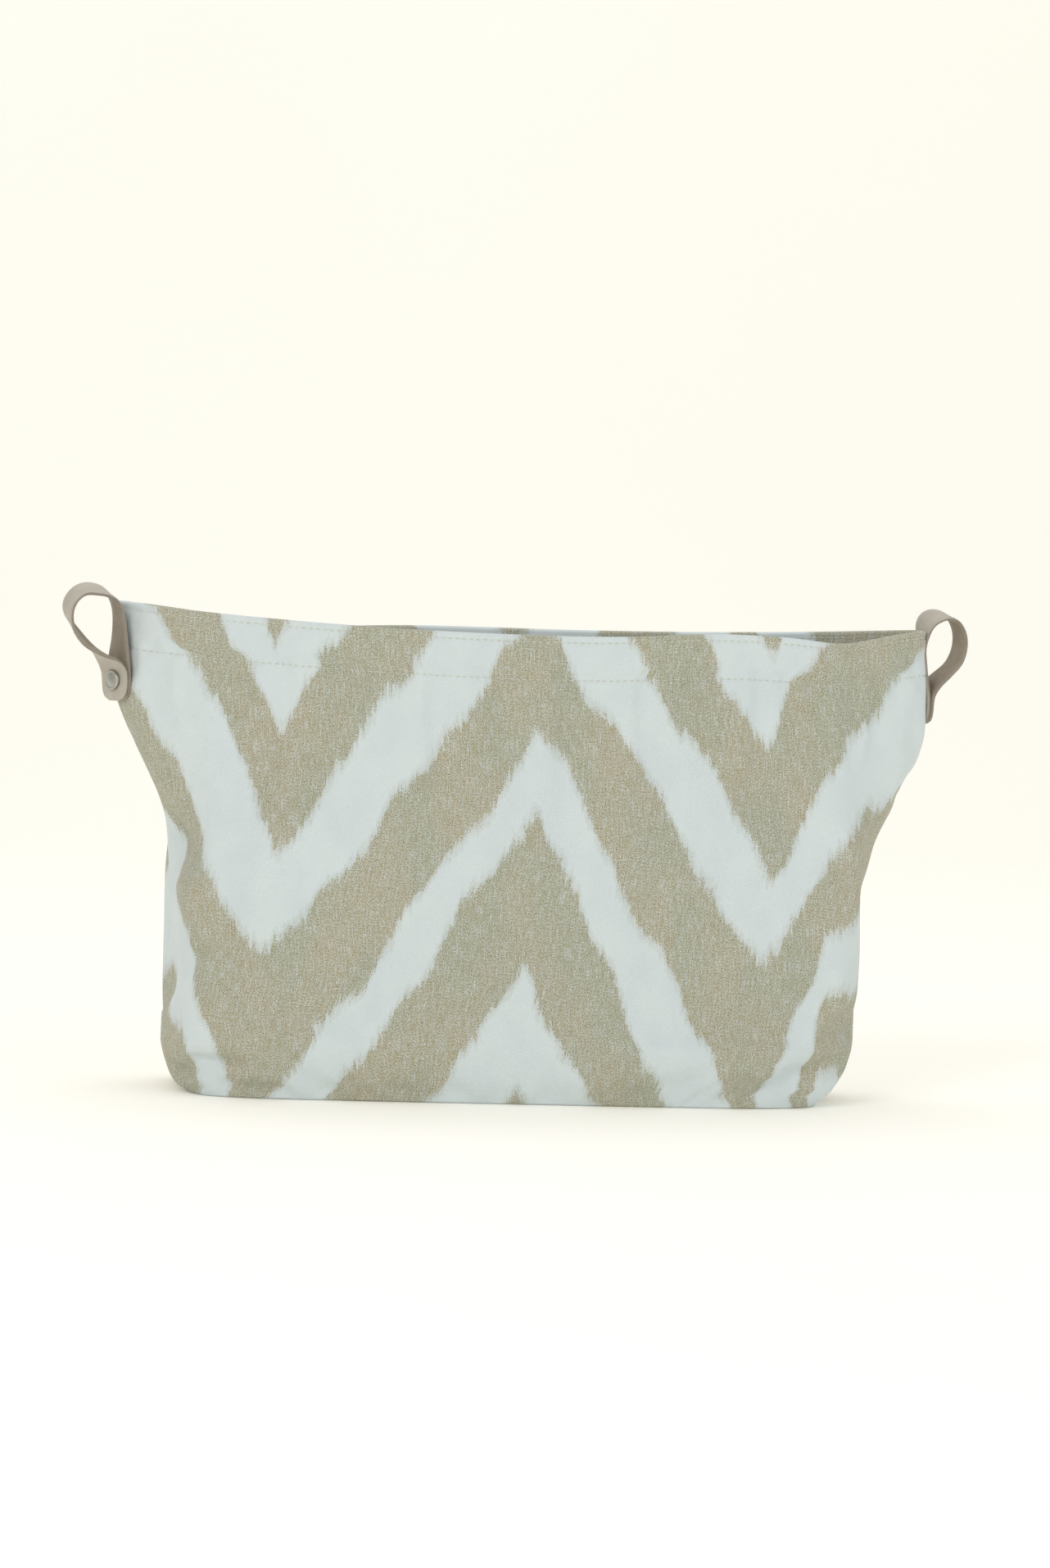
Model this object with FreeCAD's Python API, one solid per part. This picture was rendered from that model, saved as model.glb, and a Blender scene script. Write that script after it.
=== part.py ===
"""Open-topped fabric storage bin with riveted leather loop handles.

Frame: +X along the width, -Y is the front, +Z up. The origin is the centre of the underside.
All sizes are in millimetres.

The bag is sewn from a front, a back and a base, each in three nested layers: outer cloth,
interlining and lining. A wall layer is a thin shell between two faces that follow the same
form at two depths below the outer face. The outer cloth is folded over the top of the bag and
down inside it as a hem.
"""
import FreeCAD, Part
import math
import os

from FreeCAD import Matrix, Vector

os.makedirs("parts", exist_ok=True)

# Bag
RIM_HEIGHT = 240.0           # rim above the ground at the two side seams
RIM_DIP = 7.0                # how much lower the rim is at mid width
RIM_HALF_X = 203.5           # half sizes of the mouth, an ellipse before its ends are pressed flat
RIM_HALF_Y = 45.0
BODY_HALF_X = 168.0          # half sizes of the boxed lower part
BODY_HALF_Y = 55.0
BODY_SQUARENESS = 7.0        # superellipse exponent of the lower part; the mouth has 2
FLARE_START = 108.0          # the sides lean out from the box to the mouth between these heights
FLARE_END = 193.0
BASE_ROUND_HEIGHT = 34.0     # the walls draw in towards the base below this height
BASE_DRAW_IN_X = 9.0
BASE_DRAW_IN_Y = 4.0
WALL_STEPS = 26              # rows of points up a wall
PANEL_STEPS = 72             # columns of points across one panel, from side seam to side seam
SEAM_CROWDING = 0.1          # how much closer together those columns are near the seams

# Layers
OUTER_CLOTH = 0.8
INTERLINING = 1.0
LINING = 0.4
LAYER_GAP = 0.4              # layers of cloth lie against each other without being glued
HEM_DEPTH = 23.0             # how far the outer cloth is turned down inside the mouth
INTERLINING_AT = OUTER_CLOTH + LAYER_GAP                     # depths below the outer face
LINING_AT = INTERLINING_AT + INTERLINING + LAYER_GAP
LINING_FACE = LINING_AT + LINING

# Stitching
STITCH_PITCH = 3.4
STITCH_LENGTH = 2.6
THREAD_RADIUS = 0.25
RIM_STITCH_DROP = 3.4        # rows of stitches, as distances below the rim
HEM_STITCH_DROP = 22.0

# Handles: one strap each, folded into a loop with both ends on one rivet
STRAP_WIDTH = 20.0
STRAP_THICKNESS = 1.8
RIVET_DROP = 40.0            # rivet below the rim corner
CLOTH_GAP = 0.35             # between the strap and the cloth that it swivels on
STRAP_GAP = 0.1              # between the strap's two layers, and under the rivet cap
LOOP_RADIUS = 11.9           # centre line of the loop's round top
LOOP_CENTRE_RISE = 34.0      # loop centre above the rivet
CLAMPED_RISE = 5.2           # the two ends of the strap lie together up to here
BEND_RADIUS = 9.0            # centre line of the bend where the free side leaves the clamped end
INNER_LINE = CLOTH_GAP + STRAP_THICKNESS / 2                 # centre lines of the strap's two
OUTER_LINE = INNER_LINE + STRAP_THICKNESS + STRAP_GAP        # clamped layers, out from the seat

# Seats: flats under the handles, pressed into the two ends of the mouth
LEFT_TURN = 35.0             # degrees that the left seat is turned towards the front
RIGHT_TURN = -20.0           # and the right one, away from the front
LEFT_SEAT_DEPTH = 3.3
RIGHT_SEAT_DEPTH = 3.4
SEAT_SOFTNESS = 2.0          # rounding where a seat runs out into the curved cloth

# Rivets: a domed cap outside and a flanged post from inside
POST_RADIUS = 1.95
HOLE_RADIUS = 2.0
CAP_RADIUS = 5.0
CAP_HEIGHT = 2.2
CAP_WALL = 0.5
CAP_EDGE_RADIUS = 0.9
SOCKET_RADIUS = 2.9
FLANGE_RADIUS = 4.5
FLANGE_THICKNESS = 0.9
CAP_SEAT = OUTER_LINE + STRAP_THICKNESS / 2 + STRAP_GAP      # under side of the cap, out from the seat
FLANGE_SEAT = -LINING_FACE - 1.3                             # face of the flange against the lining

WALL_FOOT = OUTER_CLOTH + 0.1                                # level at which the walls start
FRONT, BACK = -1, 1


def smooth_step(value, start, end):
    """0 before start, 1 after end, and an even S between them."""
    t = min(1.0, max(0.0, (value - start) / (end - start)))
    return t * t * (3.0 - 2.0 * t)


def rim_height_at(x):
    return RIM_HEIGHT - RIM_DIP * max(0.0, 1.0 - (x / RIM_HALF_X) ** 2)


def section_sizes(level):
    """Half width, half depth and squareness of the bag's outer face at a level."""
    flare = smooth_step(level, FLARE_START, FLARE_END)
    draw_in = max(0.0, 1.0 - level / BASE_ROUND_HEIGHT) ** 2
    half_x = BODY_HALF_X + (RIM_HALF_X - BODY_HALF_X) * flare - BASE_DRAW_IN_X * draw_in
    half_y = BODY_HALF_Y + (RIM_HALF_Y - BODY_HALF_Y) * flare - BASE_DRAW_IN_Y * draw_in
    return half_x, half_y, 2.0 + (BODY_SQUARENESS - 2.0) * (1.0 - flare) ** 2


def seat_reach(turn_degrees):
    """Distance from the Z axis of the plane that touches the mouth, turned to the front."""
    turn = math.radians(turn_degrees)
    return math.hypot(RIM_HALF_X * math.cos(turn), RIM_HALF_Y * math.sin(turn))


def pressed(x, y, inset):
    """x after the end of the bag that it lies in has been pressed flat under the handle."""
    side = -1 if x < 0 else 1
    turn_degrees, depth = (
        (LEFT_TURN, LEFT_SEAT_DEPTH) if side < 0 else (RIGHT_TURN, RIGHT_SEAT_DEPTH)
    )
    turn = math.radians(turn_degrees)
    limit = (seat_reach(turn_degrees) - depth - inset + y * math.sin(turn)) / math.cos(turn)
    excess = side * x - limit
    return side * (side * x - (excess + math.hypot(excess, SEAT_SOFTNESS)) / 2)


def bag_point(level, inset, turn):
    """A point of the bag's form, inset below its outer face.

    level is the height that the point would have under a level rim, and turn the angle round
    the section in radians: pi at the left side seam, 1.5 pi at the middle of the front.
    """
    half_x, half_y, squareness = section_sizes(level)
    power = 2.0 / squareness
    c, s = math.cos(turn), math.sin(turn)
    x = math.copysign(abs(c) ** power, c) * (half_x - inset)
    y = math.copysign(abs(s) ** power, s) * (half_y - inset) if abs(s) > 1e-9 else 0.0
    return Vector(pressed(x, y, inset), y, level * rim_height_at(x) / RIM_HEIGHT)


def wall_row(side, level, inset):
    """Points from the left seam to the right one, closer together near both seams."""
    fine_steps = 400
    fine = [
        bag_point(level, inset, math.pi * (1 - side * i / fine_steps))
        for i in range(fine_steps + 1)
    ]
    walked = [0.0]
    for last, here in zip(fine, fine[1:]):
        walked.append(walked[-1] + (here - last).Length)
    row, i = [], 0
    for column in range(PANEL_STEPS + 1):
        share = column / PANEL_STEPS
        target = walked[-1] * (share - SEAM_CROWDING * math.sin(2 * math.pi * share))
        while i < fine_steps - 1 and walked[i + 1] < target:
            i += 1
        part = min(1.0, (target - walked[i]) / (walked[i + 1] - walked[i]))
        row.append(fine[i] + (fine[i + 1] - fine[i]) * part)
    return row


def wall_face(side, inset, bottom, top):
    """The face of the front or back wall at a depth below the outer face."""
    levels = [bottom + (top - bottom) * row / WALL_STEPS for row in range(WALL_STEPS + 1)]
    surface = Part.BSplineSurface()
    surface.interpolate([wall_row(side, level, inset) for level in levels])
    return surface.toShape()


def borders(face):
    """The left, right, bottom and top edges of a wall face."""
    def middle(edge):
        return edge.valueAt((edge.FirstParameter + edge.LastParameter) / 2)

    edges = face.Edges
    left = min(edges, key=lambda edge: middle(edge).x)
    right = max(edges, key=lambda edge: middle(edge).x)
    bottom = min(edges, key=lambda edge: middle(edge).z)
    top = max(edges, key=lambda edge: middle(edge).z)
    return left, right, bottom, top


def closed_solid(faces):
    shell = Part.makeShell(faces)
    shell.sewShape()
    solid = Part.Solid(shell)
    if solid.Volume < 0:
        solid.reverse()
    return solid


def end_face(edges):
    """The flat end of a layer in the plane of the side seams."""
    return Part.Face(Part.Wire(Part.__sortEdges__(edges)))


def straight(edge_a, edge_b, at_top):
    """The short edge between the upper or lower ends of two edges."""
    pick = max if at_top else min
    ends = [
        pick((vertex.Point for vertex in edge.Vertexes), key=lambda point: point.z)
        for edge in (edge_a, edge_b)
    ]
    return Part.makeLine(*ends)


def wall_layer(side, depth, thickness, bottom, top):
    """A wall of one layer, from one depth below the outer face to another."""
    outer = wall_face(side, depth, bottom, top)
    inner = wall_face(side, depth + thickness, bottom, top)
    faces = [outer, inner]
    outer_borders, inner_borders = borders(outer), borders(inner)
    for a, b in zip(outer_borders[2:], inner_borders[2:]):
        faces.append(Part.makeRuledSurface(a, b))
    for a, b in zip(outer_borders[:2], inner_borders[:2]):
        faces.append(end_face([a, b, straight(a, b, False), straight(a, b, True)]))
    return closed_solid(faces)


def panel(side):
    """The outer cloth of one wall, folded over the rim and down inside the bag as its hem."""
    fold = RIM_HEIGHT - OUTER_CLOTH
    hem_bottom = RIM_HEIGHT - HEM_DEPTH
    outside = wall_face(side, 0, WALL_FOOT, RIM_HEIGHT)
    inside = wall_face(side, OUTER_CLOTH, WALL_FOOT, fold)
    hem_back = wall_face(side, LINING_AT, hem_bottom, fold)
    hem_face = wall_face(side, LINING_AT + OUTER_CLOTH, hem_bottom, RIM_HEIGHT)
    out, ins, back, face = (borders(f) for f in (outside, inside, hem_back, hem_face))
    faces = [outside, inside, hem_back, hem_face]
    faces += [
        Part.makeRuledSurface(out[3], face[3]),
        Part.makeRuledSurface(ins[3], back[3]),
        Part.makeRuledSurface(out[2], ins[2]),
        Part.makeRuledSurface(back[2], face[2]),
    ]
    for end in (0, 1):
        faces.append(
            end_face(
                [
                    out[end], ins[end], back[end], face[end],
                    straight(out[end], face[end], True),
                    straight(ins[end], back[end], True),
                    straight(out[end], ins[end], False),
                    straight(back[end], face[end], False),
                ]
            )
        )
    return closed_solid(faces)


def base_plate(depth, thickness, low):
    """A flat layer of the base, depth inside the outline of the underside."""
    curve = Part.BSplineCurve()
    steps = 2 * PANEL_STEPS
    points = [bag_point(0, depth, math.pi * (2 * i + 1) / steps) for i in range(steps)]
    curve.interpolate(Points=points, PeriodicFlag=True)
    plate = Part.Face(Part.Wire([curve.toShape()])).extrude(Vector(0, 0, thickness))
    plate.translate(Vector(0, 0, low))
    return plate


def seat_frame(side, turn_degrees, depth):
    """Matrix from a handle's own frame to the bag's.

    In the handle's frame the rivet is at the origin, +X points out of the seat, +Z up.
    side is -1 for the left end and 1 for the right.
    """
    turn = math.radians(turn_degrees)
    outward = Vector(side * math.cos(turn), -math.sin(turn), 0)
    along = Vector(math.sin(turn), side * math.cos(turn), 0)
    reach = seat_reach(turn_degrees)
    touch = Vector(RIM_HALF_X ** 2 * outward.x, RIM_HALF_Y ** 2 * outward.y, 0) / reach
    origin = touch - outward * depth + Vector(0, 0, RIM_HEIGHT - RIVET_DROP)
    return Matrix(
        outward.x, along.x, 0, origin.x,
        outward.y, along.y, 0, origin.y,
        0, 0, 1, origin.z,
        0, 0, 0, 1,
    )


LEFT = seat_frame(-1, LEFT_TURN, LEFT_SEAT_DEPTH)
RIGHT = seat_frame(1, RIGHT_TURN, RIGHT_SEAT_DEPTH)


def moved(shape, frame):
    """A copy of the shape, carried from a handle's frame into the bag's."""
    copy = shape.copy()
    copy.Placement = FreeCAD.Placement(frame)
    return copy


def one_solid(shape):
    """The largest solid of a shape."""
    return max(shape.Solids, key=lambda solid: solid.Volume)


def with_rivet_holes(shape):
    hole = Part.makeCylinder(HOLE_RADIUS, 16, Vector(-10, 0, 0), Vector(1, 0, 0))
    for frame in (LEFT, RIGHT):
        shape = shape.cut(moved(hole, frame))
    return one_solid(shape)


def bag_nodes():
    nodes = {}
    hem_bottom = RIM_HEIGHT - HEM_DEPTH
    fold = RIM_HEIGHT - OUTER_CLOTH - LAYER_GAP
    lining_low = INTERLINING_AT + INTERLINING + LAYER_GAP
    for name, side in (("front", FRONT), ("back", BACK)):
        nodes[f"{name}_panel"] = panel(side)
        nodes[f"{name}_interlining"] = wall_layer(
            side, INTERLINING_AT, INTERLINING, INTERLINING_AT, fold
        )
        nodes[f"{name}_lining"] = wall_layer(
            side, LINING_AT, LINING, lining_low, hem_bottom - LAYER_GAP
        )
    nodes = {name: with_rivet_holes(shape) for name, shape in nodes.items()}
    nodes["base_panel"] = base_plate(0, OUTER_CLOTH, 0)
    nodes["base_stiffener"] = base_plate(LINING_AT + LAYER_GAP, INTERLINING, INTERLINING_AT)
    nodes["base_lining"] = base_plate(LINING_FACE + LAYER_GAP, LINING, lining_low)
    return nodes


def path_edges(points_of_arc_or_line):
    """Edges from (start, end) lines and (start, middle, end) arcs."""
    return [
        Part.Arc(*points).toShape() if len(points) == 3 else Part.makeLine(*points)
        for points in points_of_arc_or_line
    ]


def loop_path(offset):
    """Edges of the strap's centre line moved by offset away from the bag's side of the loop.

    They run up the clamped outer end, out along the free side, over the round top and down
    the inner side. The free side is the common tangent of the bend and the round top.
    """
    bend = Vector(OUTER_LINE + BEND_RADIUS, 0, CLAMPED_RISE)
    top = Vector(INNER_LINE + LOOP_RADIUS, 0, LOOP_CENTRE_RISE)
    across, up = top.x - bend.x, top.z - bend.z
    lean = math.asin((LOOP_RADIUS + BEND_RADIUS) / math.hypot(across, up)) + math.atan2(across, up)

    def on_circle(centre, radius, angle):
        return centre + Vector(math.cos(angle), 0, math.sin(angle)) * radius

    bend_radius, top_radius = BEND_RADIUS - offset, LOOP_RADIUS + offset
    bend_arc = [on_circle(bend, bend_radius, math.pi - lean * share) for share in (0, 0.5, 1)]
    top_arc = [
        on_circle(top, top_radius, -lean + (math.pi + lean) * share) for share in (0, 0.5, 1)
    ]
    outer_end = Vector(OUTER_LINE + offset, 0, -STRAP_WIDTH / 2)
    inner_end = Vector(INNER_LINE - offset, 0, -STRAP_WIDTH / 2)
    return path_edges(
        [
            (outer_end, bend_arc[0]),
            tuple(bend_arc),
            (bend_arc[-1], top_arc[0]),
            tuple(top_arc),
            (top_arc[-1], inner_end),
        ]
    )


def strap():
    """The leather strap in the handle's frame: a teardrop loop whose two ends meet at the rivet."""
    half = STRAP_THICKNESS / 2
    far_side, near_side = loop_path(half), loop_path(-half)
    ends = path_edges(
        [
            (far_side[0].firstVertex().Point, near_side[0].firstVertex().Point),
            (far_side[-1].lastVertex().Point, near_side[-1].lastVertex().Point),
        ]
    )
    outline = Part.Wire(Part.__sortEdges__(far_side + near_side + ends))
    loop = Part.Face(outline).extrude(Vector(0, STRAP_WIDTH, 0))
    loop.translate(Vector(0, -STRAP_WIDTH / 2, 0))
    rounded_end = Part.makeCylinder(STRAP_WIDTH / 2, 60, Vector(-10, 0, 0), Vector(1, 0, 0))
    upper = Part.makeBox(60, STRAP_WIDTH, 80, Vector(-10, -STRAP_WIDTH / 2, 0))
    hole = Part.makeCylinder(HOLE_RADIUS, 20, Vector(-10, 0, 0), Vector(1, 0, 0))
    return one_solid(loop.common(rounded_end.fuse(upper)).cut(hole))


def rivet_cap():
    """The domed cap outside the strap, hollow underneath, with a socket for the post."""
    out = Vector(1, 0, 0)
    seat = Vector(CAP_SEAT, 0, 0)
    dome = Part.makeCylinder(CAP_RADIUS, CAP_HEIGHT, seat, out)
    top_edges = [
        edge for edge in dome.Edges
        if len(edge.Vertexes) == 1 and edge.BoundBox.XMin > CAP_SEAT + CAP_HEIGHT / 2
    ]
    dome = dome.makeFillet(CAP_EDGE_RADIUS, top_edges)
    depth = CAP_HEIGHT - CAP_WALL
    hollow = Part.makeCylinder(CAP_RADIUS - CAP_WALL, depth, seat, out).cut(
        Part.makeCylinder(SOCKET_RADIUS, depth, seat, out)
    )
    bore = Part.makeCylinder(POST_RADIUS, depth, seat, out)
    return one_solid(dome.cut(hollow).cut(bore))


def rivet_post():
    """The post through cloth and strap, with its flange against the lining."""
    out = Vector(1, 0, 0)
    flange = Part.makeCylinder(
        FLANGE_RADIUS, FLANGE_THICKNESS, Vector(FLANGE_SEAT - FLANGE_THICKNESS, 0, 0), out
    )
    tip = CAP_SEAT + CAP_HEIGHT - CAP_WALL
    post = Part.makeCylinder(POST_RADIUS, tip - FLANGE_SEAT, Vector(FLANGE_SEAT, 0, 0), out)
    return one_solid(flange.fuse(post).removeSplitter())


def handle_nodes():
    nodes = {}
    for side, frame in (("left", LEFT), ("right", RIGHT)):
        nodes[f"{side}_strap"] = moved(strap(), frame)
        nodes[f"{side}_rivet_cap"] = moved(rivet_cap(), frame)
        nodes[f"{side}_rivet_post"] = moved(rivet_post(), frame)
    return nodes


def under_a_strap(point):
    """True where the strap covers the cloth, with room for half a stitch."""
    reach = (STRAP_WIDTH + STITCH_LENGTH) / 2
    local = [frame.inverse().multiply(point) for frame in (LEFT, RIGHT)]
    return any(abs(p.x) < reach / 2 and abs(p.y) < reach for p in local)


def stitch_row(drop):
    """A row of top stitches round the bag, drop below the rim, each a short straight thread."""
    fine_steps = 4000
    row = [bag_point(RIM_HEIGHT - drop, 0, 2 * math.pi * i / fine_steps) for i in range(fine_steps)]
    stitches, walked = [], 0.0
    for last, here in zip(row, row[1:]):
        walked += (here - last).Length
        if walked >= STITCH_PITCH:
            walked = 0.0
            along = (here - last).normalize()
            if not under_a_strap(here):
                start = here - along * (STITCH_LENGTH / 2)
                stitches.append(Part.makeCylinder(THREAD_RADIUS, STITCH_LENGTH, start, along))
    return Part.makeCompound(stitches)


def main():
    nodes = {**bag_nodes(), **handle_nodes()}
    nodes["rim_topstitch"] = stitch_row(RIM_STITCH_DROP)
    nodes["hem_topstitch"] = stitch_row(HEM_STITCH_DROP)
    for name, shape in nodes.items():
        shape.exportStep(f"parts/{name}.step")
        box = shape.BoundBox
        print(
            f"{name:20s} {len(shape.Solids):4d} solids, valid {shape.isValid()}, "
            f"{shape.Volume / 1000:8.2f} cm3, X {box.XMin:.1f}..{box.XMax:.1f}, "
            f"Y {box.YMin:.1f}..{box.YMax:.1f}, Z {box.ZMin:.1f}..{box.ZMax:.1f}"
        )


main()
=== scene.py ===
"""Looks of the fabric storage bin: printed cloth, lining, topstitching, leather loops, rivets.

The frame is the CAD's: +Z up, -Y the front, the origin at the centre of the underside.
Sizes in this file are millimetres, and MM turns them into metres where a mesh is made.
"""

import math

import bpy
import numpy as np
from mathutils import Matrix, Vector


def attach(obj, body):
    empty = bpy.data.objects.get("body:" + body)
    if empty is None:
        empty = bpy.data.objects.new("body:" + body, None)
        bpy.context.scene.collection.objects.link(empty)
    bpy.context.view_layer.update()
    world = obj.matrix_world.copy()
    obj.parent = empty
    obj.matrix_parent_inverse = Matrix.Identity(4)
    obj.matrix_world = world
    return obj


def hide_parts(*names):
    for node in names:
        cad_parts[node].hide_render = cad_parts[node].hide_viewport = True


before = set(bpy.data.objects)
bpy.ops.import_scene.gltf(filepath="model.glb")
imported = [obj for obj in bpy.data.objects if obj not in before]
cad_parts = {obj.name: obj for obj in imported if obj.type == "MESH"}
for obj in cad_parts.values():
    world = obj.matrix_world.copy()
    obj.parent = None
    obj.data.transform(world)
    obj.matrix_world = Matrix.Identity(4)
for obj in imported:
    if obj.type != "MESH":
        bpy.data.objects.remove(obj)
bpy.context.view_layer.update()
MM = 0.001
FRONT, BACK = -1, 1

# ---------------------------------------------------------------- form of the bag

RIM_HEIGHT = 240.0
MOUTH_HALF_X, MOUTH_HALF_Y = 203.5, 45.0
BODY_HALF_Y = 55.0
BODY_SQUARENESS = 6.0
FLARE_START, FLARE_END = 104.0, 196.0
HEM_DEPTH = 23.0
CLOTH = 0.8                  # thickness of the printed cloth
HEM_INSET = 3.2              # hem face below the outer face
LINING_INSET = 2.9
COLUMNS = 241                # points across one panel, from side seam to side seam

# Half width at each end: the boxed part, how far the mouth reaches past it, the heights where
# the end starts and stops leaning out, and the draw-in at the base with its height
END_FORMS = {
    -1: (170.0, 34.0, 126.0, 212.0, 10.0, 30.0),
    1: (167.0, 36.5, 112.0, 196.0, 17.0, 40.0),
}
CORNER_DROPS = (1.5, 4.0)    # how far the rim's left and right corners lie below RIM_HEIGHT
RIM_SAGS = {FRONT: 8.5, BACK: 7.5}
# Waves in the rim: side, x, half width, drop
RIM_WAVES = [(FRONT, 160, 24, 4.5), (FRONT, 88, 34, -2.0), (BACK, -115, 50, 4.5)]
# Dents and bulges: side, x, height, half width, half height, push in x, push in y
DENTS = [
    (FRONT, -170, 126, 14, 15, 9.5, 3.0),
    (BACK, -168, 112, 18, 22, -1.5, 0.0),
    (FRONT, -168, 80, 16, 24, 1.5, 1.0),
    (FRONT, 142, 112, 22, 26, 0.0, 4.5),
    (FRONT, 168, 120, 18, 12, 2.0, -2.0),
    (FRONT, 160, 30, 18, 24, -2.0, 2.0),
    (FRONT, 130, 22, 16, 26, 0.0, 2.0),
    (FRONT, -60, 150, 70, 50, 0.0, 2.0),
    (FRONT, 60, 160, 60, 40, 0.0, 1.5),
    (FRONT, -150, 175, 30, 26, 0.0, -2.0),
    (FRONT, 155, 178, 30, 24, 0.0, -2.0),
    (BACK, 60, 140, 60, 40, 0.0, -2.5),
    (BACK, -90, 120, 40, 50, 0.0, -2.0),
    (BACK, 150, 120, 20, 22, 0.0, -3.0),
    (BACK, 188, 205, 16, 28, -1.5, -2.5),
]
SEATS = {-1: (35.0, 3.3), 1: (-20.0, 3.4)}    # end of the bag: turn to the front, depth
SEAT_SOFTNESS = 2.0


def smooth(t):
    t = np.clip(t, 0.0, 1.0)
    return t * t * (3.0 - 2.0 * t)


def curve(points, x):
    """A smooth line through a few points."""
    xs, ys = np.array(points, float).T
    slopes = np.gradient(ys, xs)
    x = np.clip(x, xs[0], xs[-1])
    i = np.clip(np.searchsorted(xs, x) - 1, 0, len(xs) - 2)
    gap = xs[i + 1] - xs[i]
    t = (x - xs[i]) / gap
    return (
        ys[i] * (1 + 2 * t) * (1 - t) ** 2
        + slopes[i] * gap * t * (1 - t) ** 2
        + ys[i + 1] * t * t * (3 - 2 * t)
        + slopes[i + 1] * gap * t * t * (t - 1)
    )


def seat_reach(turn):
    return math.hypot(MOUTH_HALF_X * math.cos(turn), MOUTH_HALF_Y * math.sin(turn))


def pressed(x, y):
    """x after the two ends of the bag have been pressed flat under the handles."""
    side = np.where(x < 0, -1.0, 1.0)
    limit = np.empty_like(x)
    for end, (degrees, depth) in SEATS.items():
        turn = math.radians(degrees)
        here = (seat_reach(turn) - depth + y * math.sin(turn)) / math.cos(turn)
        limit = np.where(side == end, here, limit)
    excess = side * x - limit
    return side * (side * x - (excess + np.hypot(excess, SEAT_SOFTNESS)) / 2)


def end_half_width(end, level):
    """Half width of one end of the bag at a level."""
    body, reach, start, stop, foot, foot_height = END_FORMS[end]
    lean = smooth((level - start) / (stop - start))
    return body + reach * lean - foot * max(0.0, 1.0 - level / foot_height) ** 2


def rim_drop(side, x):
    """How far the rim lies below RIM_HEIGHT."""
    u = np.clip(x / MOUTH_HALF_X, -1.0, 1.0)
    left, right = CORNER_DROPS
    drop = (left + right) / 2 + (right - left) / 2 * u + RIM_SAGS[side] * (1.0 - u * u)
    for where, at_x, wide, deep in RIM_WAVES:
        if where == side:
            drop = drop + deep * np.exp(-(((x - at_x) / wide) ** 2)) * (1.0 - u**8)
    return drop


def section(side, level, steps=800):
    """Points round one side of the bag at a level, from the left seam to the right one."""
    turn = np.linspace(math.pi, 0.0, steps)
    c, s = np.cos(turn), np.sin(turn)
    s[0] = s[-1] = 0.0
    flare = smooth((level - FLARE_START) / (FLARE_END - FLARE_START))
    squareness = 2.0 + (BODY_SQUARENESS - 2.0) * (1.0 - flare) ** 2
    draw_in = 4.0 * max(0.0, 1.0 - level / 34.0) ** 2
    half_y = BODY_HALF_Y + (MOUTH_HALF_Y - BODY_HALF_Y) * flare - draw_in
    half_x = np.where(c < 0, end_half_width(-1, level), end_half_width(1, level))
    power = 2.0 / squareness
    x = np.sign(c) * np.abs(c) ** power * half_x
    y = side * np.abs(s) ** power * half_y
    z = level * (RIM_HEIGHT - rim_drop(side, x)) / RIM_HEIGHT
    return np.stack([pressed(x, y), y, z], 1)


def wall(side, levels, columns):
    """Grid of points [level, column] of one side's outer face, before dents and creases."""
    share = np.linspace(0.0, 1.0, columns)
    share = share - 0.03 * np.sin(2 * math.pi * share)
    rows = []
    for level in levels:
        fine = section(side, level)
        walked = np.concatenate([[0], np.cumsum(np.linalg.norm(np.diff(fine, axis=0), axis=1))])
        rows.append([np.interp(share * walked[-1], walked, fine[:, k]) for k in range(3)])
    return np.moveaxis(np.array(rows), 1, 2)


def dented(grid, side):
    """The grid with the listed dents and bulges."""
    grid = grid.copy()
    x, z = grid[..., 0].copy(), grid[..., 2].copy()
    for where, at_x, at_z, wide, high, push_x, push_y in DENTS:
        if where == side:
            weight = np.exp(-(((x - at_x) / wide) ** 2 + ((z - at_z) / high) ** 2))
            edge = smooth(np.abs(grid[..., 1]) / 14.0)
            grid[..., 0] += weight * push_x * edge
            grid[..., 1] += weight * push_y * edge
    return grid


def normals(grid):
    """Outward unit normals of a grid."""
    up = np.gradient(grid, axis=0)
    along = np.gradient(grid, axis=1)
    normal = np.cross(along, up)
    normal /= np.maximum(np.linalg.norm(normal, axis=2, keepdims=True), 1e-9)
    outward = grid.copy()
    outward[..., 2] = 0
    return normal * np.sign((normal * outward).sum(2).mean())


# ---------------------------------------------------------------- cloth simulation

SIM_COLUMNS, SIM_ROWS = 65, 37
SIM_FRAMES = 26
SIM_STRETCH = -0.035         # rest lengths grown by this much, so that slack cloth creases
SIM_CAP = 4.5                # how far a crease may leave the form


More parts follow.
